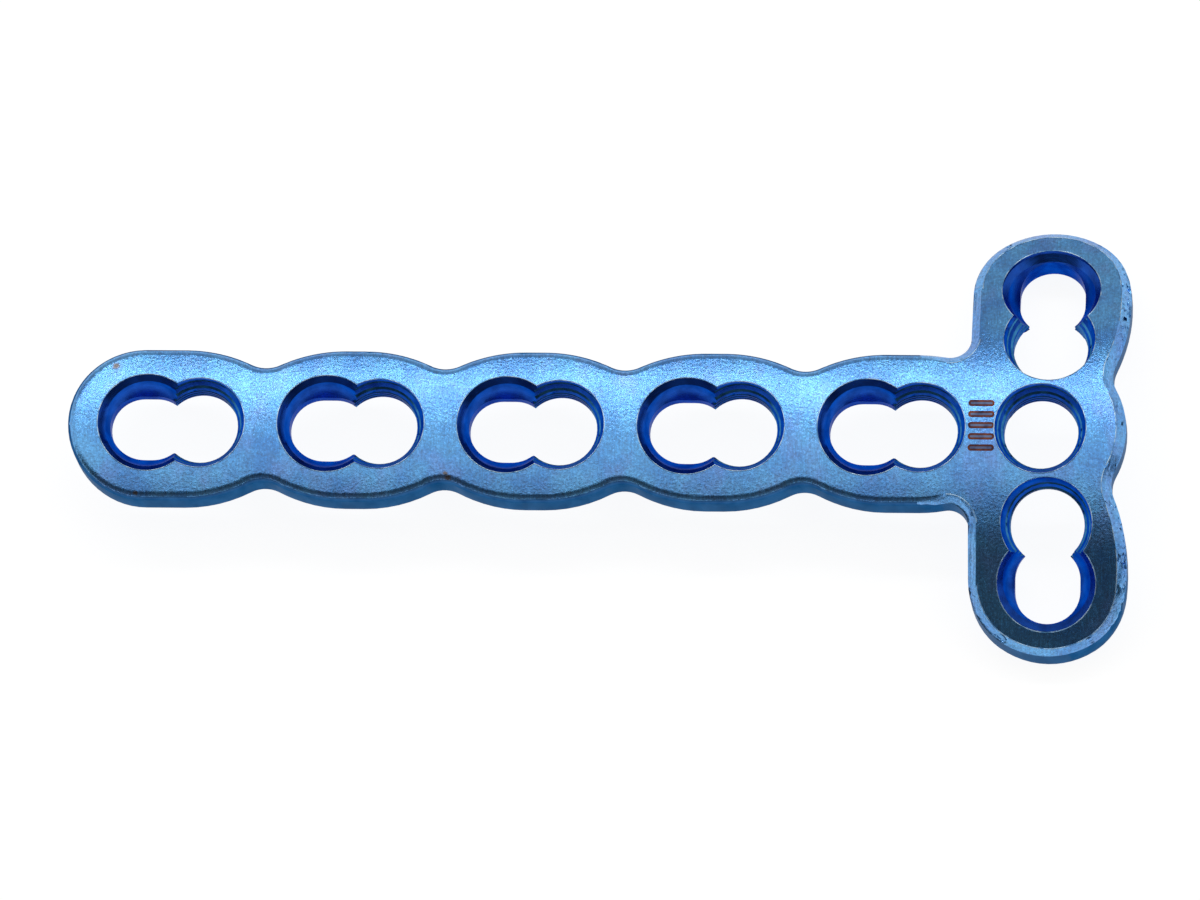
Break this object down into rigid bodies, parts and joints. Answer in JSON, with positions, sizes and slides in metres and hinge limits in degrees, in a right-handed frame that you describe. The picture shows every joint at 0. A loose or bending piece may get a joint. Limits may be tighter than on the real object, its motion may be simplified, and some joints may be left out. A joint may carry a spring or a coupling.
{
  "type": "orthopedic bone plate",
  "caption": "T-shaped locking bone plate: a scalloped, gently arched shaft and a bent cross head, with combined locking and compression screw holes.",
  "frame": {"origin": "middle of the overall box across and along the plate, at the height of the arm tips' lowest edge", "axes": "+X along the shaft toward the head, +Y across the plate, +Z out of the upper side, from which the screws go in"},
  "size_m": [0.0706, 0.0288, 0.0073],
  "materials": {
    "anodised_titanium": "blue anodised, satin"
  },
  "bodies": {
    "root": {"bone_plate": "anodised_titanium"}
  },
  "joints": []
}
